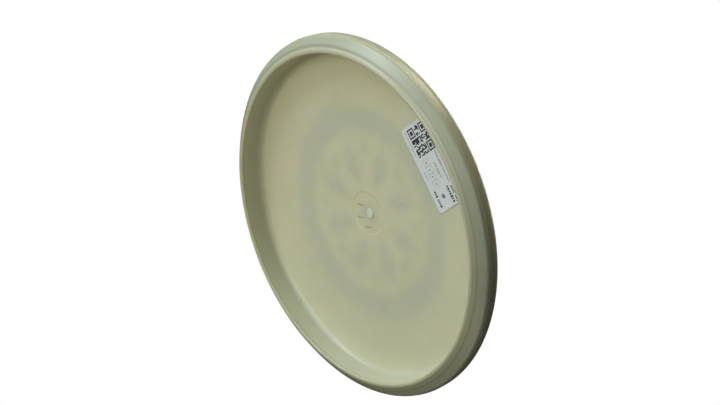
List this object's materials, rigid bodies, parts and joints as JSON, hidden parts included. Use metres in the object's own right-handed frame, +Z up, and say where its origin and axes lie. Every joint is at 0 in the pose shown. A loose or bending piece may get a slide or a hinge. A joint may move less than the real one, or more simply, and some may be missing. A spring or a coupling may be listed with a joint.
{
  "type": "flying disc",
  "caption": "Golf disc for putting and short approaches: a thin translucent flight plate in a blunt, heavy two-shot rim, with stamped foil and a paper label.",
  "frame": {"origin": "centre of the rim's bottom plane, on the flight axis", "axes": "+Z up the flight axis towards the dome; +X towards the side of the underside that carries the paper label"},
  "size_m": [0.212, 0.212, 0.0176],
  "materials": {
    "core_plastic": "pale warm grey-green translucent plastic, soft gloss",
    "rim_plastic": "pale cool grey-green translucent plastic, soft gloss",
    "foil": "hot-stamped grey metallic foil, satin",
    "label": "white printed paper, semi-matt"
  },
  "bodies": {
    "root": {"disc_core": "core_plastic", "rim_overmould": "rim_plastic", "foil_ring": "foil", "foil_hub": "foil", "foil_leaf_1": "foil", "foil_dot_1": "foil", "foil_leaf_2": "foil", "foil_dot_2": "foil", "foil_leaf_3": "foil", "foil_dot_3": "foil", "foil_leaf_4": "foil", "foil_dot_4": "foil", "foil_leaf_5": "foil", "foil_dot_5": "foil", "foil_leaf_6": "foil", "foil_dot_6": "foil", "foil_leaf_7": "foil", "foil_dot_7": "foil", "foil_leaf_8": "foil", "foil_dot_8": "foil", "retail_label": "label"}
  },
  "joints": []
}
